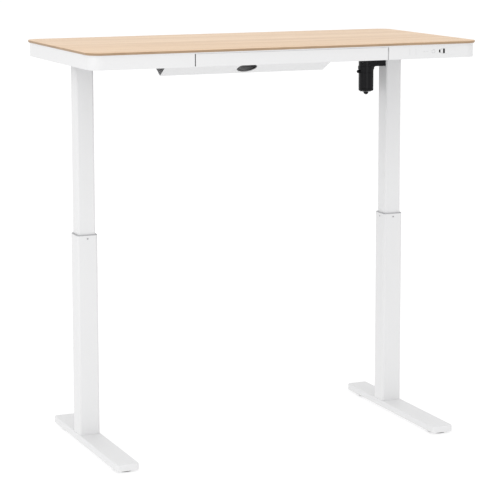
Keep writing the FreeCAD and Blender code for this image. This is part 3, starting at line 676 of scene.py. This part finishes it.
def make_screws():
    """Each group of screws stands where the CAD's does."""
    down = lambda spot: Vector((0, 0, -1))
    inward = lambda spot: Vector((-spot.x, 0, 0))
    outward = lambda spot: Vector((0, spot.y - LEG.y, 0))
    groups = {
        "board_screws": (0.00225, 0.0022, 0.0018, down, cross(0.0030), ZINC),
        "tray_screws": (0.0020, 0.0016, 0.0008, down, cross(0.0024), WHITE_STEEL),
        "foot_screws": (0.0030, 0.0028, 0.0010, down, hexagon(0.0030), SCREW_STEEL),
        "gearbox_screws": (0.0016, 0.0016, 0.0008, outward, cross(0.0020), BLACK_ZINC),
        "collar_screws": (0.0015, 0.0011, 0.0006, away_from_leg, cross(0.0015), SCREW_STEEL),
        "drawer_screws": (0.00145, 0.0016, 0.0008, inward, cross(0.0019), ZINC),
    }
    for node, (head, shank, pitch, facing, recess, finish) in groups.items():
        bm = bmesh.new()
        for low, high in islands(node):
            make_screw(bm, low, high, head, shank, pitch, facing, recess)
        piece(f"{node}_threaded", bm, finish, body_of(node), node)


# ---------------------------------------------------------------- feet and columns

def make_glides():
    """Levelling glides: a rubber pad on a threaded stud with a hexagon socket in its end."""
    for end in ("front", "rear"):
        for side in ("left", "right"):
            node = f"glide_{end}_{side}"
            low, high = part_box(node)
            spot, reach, top = middle(node), (high.x - low.x) / 2, high.z - low.z
            bm = bmesh.new()
            pad = [(0.0, reach - 0.0035), (0.0006, reach - 0.0022), (0.0020, reach - 0.0012),
                   (0.0024, reach - 0.0017), (0.0028, reach - 0.0010), (0.0038, reach - 0.0003),
                   (0.0044, reach - 0.0008), (0.0047, reach - 0.0024), (0.0047, 0.0075)]
            turned(bm, (spot.x, spot.y, low.z), "+Z", pad, 48)
            stud, radius = 0.0045, 0.0040
            rings = thread(stud, top - 0.0008, radius, 0.0005, 0.00125)
            rings += [(top, 0.0033), (top, hexagon(0.0040)), (top - 0.0050, hexagon(0.0040))]
            turned(bm, (spot.x, spot.y, low.z), "+Z", rings, 24, finish=1)
            piece(f"{node}_pad", bm, [RUBBER, ZINC], body_of(node), node)


def make_lift():
    """In each column: a four-start spindle, its nut and the bearing that it hangs from."""
    for side, sign in (("left", -1), ("right", 1)):
        low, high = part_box(f"spindle_{side}")
        x, y, radius, length = sign * LEG.x, LEG.y, (high.y - low.y) / 2, high.z - low.z
        journal = length - 0.028
        bm = bmesh.new()
        rings = [(0.0, radius - 0.0016)] + thread(0.0014, journal, radius, 0.0009, 0.004, -4 * sign)
        rings += [(journal + 0.0004, radius - 0.0010), (journal + 0.003, radius - 0.0010),
                  (journal + 0.0032, radius - 0.00005), (length, radius - 0.00005)]
        turned(bm, (x, y, low.z), "+Z", rings, 24)
        piece(f"spindle_{side}_threaded", bm, TURNED_STEEL, f"{side}_spindle", f"spindle_{side}")

        low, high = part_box(f"spindle_nut_{side}")
        reach, bore, tall = (high.x - low.x) / 2, radius + 0.0003, high.z - low.z
        flange, edge, neck, screw_circle = 0.0080, 0.0006, 0.0135, 0.0155
        bm = bmesh.new()
        rings = [(0.0, bore), (0.0, reach - edge), (edge, reach), (flange - edge, reach),
                 (flange, reach - edge), (flange, neck), (tall - 0.0012, neck), (tall, neck - 0.0012),
                 (tall, bore)]
        turned(bm, (x, y, low.z), "+Z", rings, 48, hollow=True)
        for n in range(4):
            angle = math.pi / 4 + math.pi / 2 * n
            spot = (x + screw_circle * math.cos(angle), y + screw_circle * math.sin(angle), low.z + flange)
            rings = [(0.0, 0.0019), (0.0014, 0.0019), (0.0017, 0.0015), (0.0017, hexagon(0.0015)),
                     (0.0006, hexagon(0.0015))]
            turned(bm, spot, "+Z", rings, 18, finish=1)
        piece(f"spindle_nut_{side}_flanged", bm, [ACETAL, SCREW_STEEL], "base", f"spindle_nut_{side}")

        low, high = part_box(f"spindle_bearing_{side}")
        reach, tall, inner = (high.x - low.x) / 2, high.z - low.z, radius + 0.00005
        race_out, race_in, edge, balls = reach - 0.0030, inner + 0.0026, 0.0005, 9
        pitch_radius, ball_radius = (race_out + race_in) / 2, (race_out - race_in) / 2 + 0.0002
        bm = bmesh.new()
        outer_race = [(0.0, race_out), (0.0, reach - edge), (edge, reach), (tall - edge, reach),
                      (tall, reach - edge), (tall, race_out)]
        inner_race = [(0.0, inner), (0.0, race_in), (tall, race_in), (tall, inner)]
        turned(bm, (x, y, low.z), "+Z", outer_race, 40, hollow=True)
        turned(bm, (x, y, low.z), "+Z", inner_race, 40, hollow=True)
        for n in range(balls):
            angle = 2 * math.pi * n / balls
            across, along = pitch_radius * math.cos(angle), pitch_radius * math.sin(angle)
            ball(bm, (x + across, y + along, low.z + tall / 2), ball_radius)
        piece(f"spindle_bearing_{side}_races", bm, TURNED_STEEL, "desk", f"spindle_bearing_{side}")


GEAR_DEPTH = 0.009


def bevel_gear(bm, at, towards, wide_first=True):
    """A straight bevel gear of 18 teeth between its wide and narrow ends."""
    depth, wide, narrow, teeth = GEAR_DEPTH, 0.0159, 0.0072, 18
    big, small = cogged(wide, teeth, 0.0007), cogged(narrow, teeth, 0.0004)
    rings = [(0.0, wide * 0.86), (0.0004, big), (depth - 0.0002, small), (depth, narrow * 0.9)]
    if not wide_first:
        rings = [(depth - height, radius) for height, radius in reversed(rings)]
    turned(bm, at, towards, rings, teeth * 8)


def make_gears():
    """Bevel gears at both columns and at the motor."""
    for side, sign in (("left", -1), ("right", 1)):
        bm = bmesh.new()
        bevel_gear(bm, (sign * LEG.x, LEG.y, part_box(f"spindle_gear_{side}")[0].z), "+Z")
        piece(f"spindle_gear_{side}_toothed", bm, TURNED_STEEL, f"{side}_spindle", f"spindle_gear_{side}")
        low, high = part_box(f"shaft_gear_{side}")
        bm = bmesh.new()
        start = low.x if sign < 0 else high.x
        bevel_gear(bm, (start, LEG.y, SHAFT_Z), "+X" if sign < 0 else "-X", wide_first=False)
        piece(f"shaft_gear_{side}_toothed", bm, TURNED_STEEL, "cross_shaft", f"shaft_gear_{side}")
    bm = bmesh.new()
    bevel_gear(bm, (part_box("shaft_gear_motor")[0].x, LEG.y, SHAFT_Z), "+X", wide_first=False)
    piece("shaft_gear_motor_toothed", bm, TURNED_STEEL, "cross_shaft", "shaft_gear_motor")
    low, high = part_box("motor_shaft")
    stem = high.z - low.z - GEAR_DEPTH
    bm = bmesh.new()
    turned(bm, (MOTOR.x, MOTOR.y, low.z), "+Z", [(0.0, 0.0034), (0.0006, 0.0040), (stem, 0.0040)], 24)
    bevel_gear(bm, (MOTOR.x, MOTOR.y, low.z + stem), "+Z")
    piece("motor_pinion", bm, TURNED_STEEL, "motor_rotor", "motor_shaft")


# ---------------------------------------------------------------- motor

def make_motor():
    """The motor: a rolled steel can with a crimped rim, a conical end cap and a cable gland."""
    low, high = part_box("motor_can")
    reach, tall = (high.x - low.x) / 2, high.z - low.z
    groove, shaft_bore = 0.0007, 0.0062
    bm = bmesh.new()
    rings = [(0.0, reach - 0.0012), (0.0005, reach - 0.0004), (0.0014, reach)]
    for height in (0.0050, tall - 0.0160):
        rings += [(height, reach), (height + 0.0004, reach - groove), (height + 0.0014, reach - groove),
                  (height + 0.0018, reach)]
    rings += [(tall - 0.0012, reach), (tall, reach - 0.0010), (tall, shaft_bore), (tall - 0.0190, shaft_bore)]
    turned(bm, (MOTOR.x, MOTOR.y, low.z), "+Z", rings, 64)
    piece("motor_can_rolled", bm, BLACK_ENAMEL, "desk", "motor_can")

    low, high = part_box("motor_end_cap")
    tall, screw_circle = high.z - low.z, 0.0170
    bm = bmesh.new()
    rings = [(0.0, reach - 0.0004), (0.0006, reach), (0.0014, reach), (0.0052, 0.0140), (0.0055, 0.0095),
             (0.0055, 0.0082), (0.0090, 0.0076), (0.0112, 0.0064), (0.0129, 0.0044), (tall, 0.0018)]
    turned(bm, (MOTOR.x, MOTOR.y, high.z), "-Z", rings, 64)
    for n in range(3):
        angle = 2 * math.pi * n / 3 + 0.5
        across, along = screw_circle * math.cos(angle), screw_circle * math.sin(angle)
        rings = [(0.0, 0.0020), (0.0024, 0.0020), (0.0028, 0.0016), (0.0028, cross(0.0011)),
                 (0.0018, cross(0.0011))]
        turned(bm, (MOTOR.x + across, MOTOR.y + along, high.z - 0.0030), "-Z", rings, 24, finish=1)
    piece("motor_cap_moulded", bm, [BLACK_PLASTIC, SCREW_STEEL], "desk", "motor_end_cap")

    low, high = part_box("motor_gland")
    spot = (low + high) / 2
    bm = bmesh.new()
    nut, length = hexagon(0.0102), high.x - low.x
    rings = [(0.0, 0.0059), (0.0013, 0.0059), (0.0015, nut), (0.0042, nut), (0.0045, 0.0049)]
    for n in range(3):
        height = 0.0052 + 0.0011 * n
        rings += [(height, 0.0048 - 0.0002 * n), (height + 0.0003, 0.0042 - 0.0002 * n)]
    rings += [(length, 0.0038), (length, 0.0024), (0.0030, 0.0024)]
    turned(bm, (high.x, spot.y, spot.z), "-X", rings, 36)
    piece("motor_gland_ribbed", bm, BLACK_PLASTIC, "desk", "motor_gland")


def make_gearbox_ribs():
    """Stiffening ribs and the joint line on the gearbox's front and rear faces."""
    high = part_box("motor_gearbox")[1]
    half_depth, proud, bite, uprights = 0.023, 0.0008, 0.0002, 6
    front, rear = LEG.y - half_depth, LEG.y + half_depth
    floor, roof = high.z - 0.043, high.z
    left, right = MOTOR.x + 0.0055, high.x - 0.0020
    bm = bmesh.new()
    for y0, y1 in ((front - proud, front + bite), (rear - bite, rear + proud)):
        for z in (floor + 0.0015, floor + 0.0225, roof - 0.0030):
            block(bm, (left, y0, z), (right, y1, z + 0.0015))
        for n in range(uprights):
            x = left + (right - left) * (n + 0.5) / uprights
            block(bm, (x - 0.0006, y0 + 0.0001, floor + 0.0240), (x + 0.0006, y1 - 0.0001, roof - 0.0028))
    piece("gearbox_ribs", bm, BLACK_ENAMEL, "desk", bevel=0.0003)


def make_control_box():
    """The control box: a moulded tray with a vented lid and four sockets."""
    low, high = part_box("control_box")
    spot, half = (low + high) / 2, (high - low) / 2
    lid, groove, corner = 0.0022, 0.0006, 0.003
    bm = bmesh.new()
    stack = [(0.0012, low.z + 0.0008), (0.0002, low.z + 0.0016), (0.0, low.z + lid),
             (groove, low.z + lid + 0.0002), (groove, low.z + lid + 0.0010), (0.0, low.z + lid + 0.0012),
             (0.0, high.z - 0.001), (0.001, high.z)]
    slab(bm, (spot.x, spot.y + 0.001), half.x, half.y - 0.001, corner, stack, 6)
    for n in range(14):
        x = low.x + 0.035 + 0.0085 * n
        block(bm, (x, spot.y - 0.020, low.z), (x + 0.0035, spot.y + 0.020, low.z + 0.0012))
    for n in range(4):
        x = low.x + 0.030 + 0.045 * n
        block(bm, (x, low.y, spot.z - 0.005), (x + 0.020, low.y + 0.003, spot.z + 0.006))
        block(bm, (x + 0.002, low.y, spot.z - 0.003), (x + 0.018, low.y + 0.0034, spot.z + 0.004), 1)
    piece("control_box_vented", bm, [BLACK_PLASTIC, RUBBER], "desk", "control_box", 0.0004)


# ---------------------------------------------------------------- drawer

def make_drawer():
    """The drawer's tray: a folded sheet with hemmed edges, and a flanged sheet at each end."""
    low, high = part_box("drawer_side_left")[0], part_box("drawer_side_right")[1]
    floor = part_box("drawer_floor")[0].z
    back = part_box("drawer_back")
    wall, top = 0.001, high.z
    hem, fold = 0.0026, 0.0022
    left, right = low.x, high.x
    corners = [(left + hem, top - 0.004), (left + hem, top), (left, top), (left, floor),
               (right, floor), (right, top), (right - hem, top), (right - hem, top - 0.004)]
    path = bend(corners, 0.0011)
    bm = bmesh.new()
    prism(bm, sheet_outline(path, wall), low.y, high.y, "Y")
    inner = [(back[1].y, top - 0.001), (back[1].y, floor + 0.0012), (back[1].y - 0.012, floor + 0.0012)]
    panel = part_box("drawer_front")[1].y + 0.0001
    turned_in = [(panel + 0.012, floor + 0.0012), (panel, floor + 0.0012), (panel, top - 0.001)]
    for end in (inner, turned_in):
        prism(bm, sheet_outline(bend(end, fold), -wall), left + wall + 0.0002, right - wall - 0.0002)
    plates = ["drawer_floor", "drawer_back", *both("drawer_side")]
    piece("drawer_tray", bm, GREY_STEEL, "drawer", plates)


def split_caps(bm):
    """Cut the many-sided ends of folded sections into triangles, which fill no hollow."""
    bmesh.ops.triangulate(bm, faces=[face for face in bm.faces if len(face.verts) > 4])


def make_slides():
    """Ball slides: an outer channel with a hanger under the board, an inner channel, and their balls."""
    for side, sign in (("left", -1), ("right", 1)):
        low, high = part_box(f"drawer_rail_{side}")
        channel_top = low.z + 0.022
        outer, inner = (high.x, low.x) if sign > 0 else (low.x, high.x)
        thick = 0.0012 * sign
        corners = [(inner, low.z + 0.0035), (inner, low.z), (outer, low.z), (outer, channel_top),
                   (inner, channel_top), (inner, channel_top - 0.0035)]
        bm = bmesh.new()
        prism(bm, sheet_outline(bend(corners, 0.0012), thick), low.y, high.y, "Y")
        hanger = [(outer, channel_top - 0.002), (outer, high.z), (inner, high.z)]
        for start, end in ((low.y + 0.010, low.y + 0.045), (high.y - 0.045, high.y - 0.010)):
            prism(bm, sheet_outline(bend(hanger, 0.0015), -thick), start, end, "Y")
        run_low, run_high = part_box(f"drawer_runner_{side}")
        gap = channel_top - 0.0012 - run_high.z
        for n in range(12):
            y = low.y + 0.012 + 0.013 * n
            for z in (run_high.z + gap / 2, run_low.z - gap / 2):
                ball(bm, ((outer + inner) / 2 + sign * 0.0008, y, z), gap / 2 - 0.00005, 1)
        split_caps(bm)
        piece(f"drawer_rail_{side}_channel", bm, [ZINC, TURNED_STEEL], "desk", f"drawer_rail_{side}",
              smooth=50)
        web, lips = (run_low.x, run_high.x) if sign > 0 else (run_high.x, run_low.x)
        corners = [(lips, run_low.z + 0.003), (lips, run_low.z), (web, run_low.z), (web, run_high.z),
                   (lips, run_high.z), (lips, run_high.z - 0.003)]
        bm = bmesh.new()
        prism(bm, sheet_outline(bend(corners, 0.0010), -0.001 * sign), run_low.y, run_high.y, "Y")
        split_caps(bm)
        piece(f"drawer_runner_{side}_channel", bm, ZINC, "drawer", f"drawer_runner_{side}")


def make_gap_shade_strips():
    """Black rubber-finished strips behind the gaps at the drawer's two ends: painted shade that darkens the
    gaps.
    """
    low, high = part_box("drawer_front")
    bm = bmesh.new()
    nose = 0.0012
    face, back = high.y + 0.0004, high.y + 0.008
    for edge, sign in ((low.x, -1), (high.x, 1)):
        near, far = sorted((edge - sign * 0.0022, edge + sign * 0.0028))
        outline = [(near, back), (near, face + nose), (near + nose, face),
                   (far - nose, face), (far, face + nose), (far, back)]
        prism(bm, outline, low.z + 0.0020, high.z - 0.0005, "Z")
    # these strips are painted shade for the drawer's gaps
    piece("drawer_gap_shade_strips", bm, RUBBER, "desk")


make_board()
make_steelwork()
make_touch_marks()
make_gap_shade_strips()
make_ports()
make_screws()
make_glides()
make_lift()
make_gears()
make_motor()
make_gearbox_ribs()
make_control_box()
make_drawer()
make_slides()
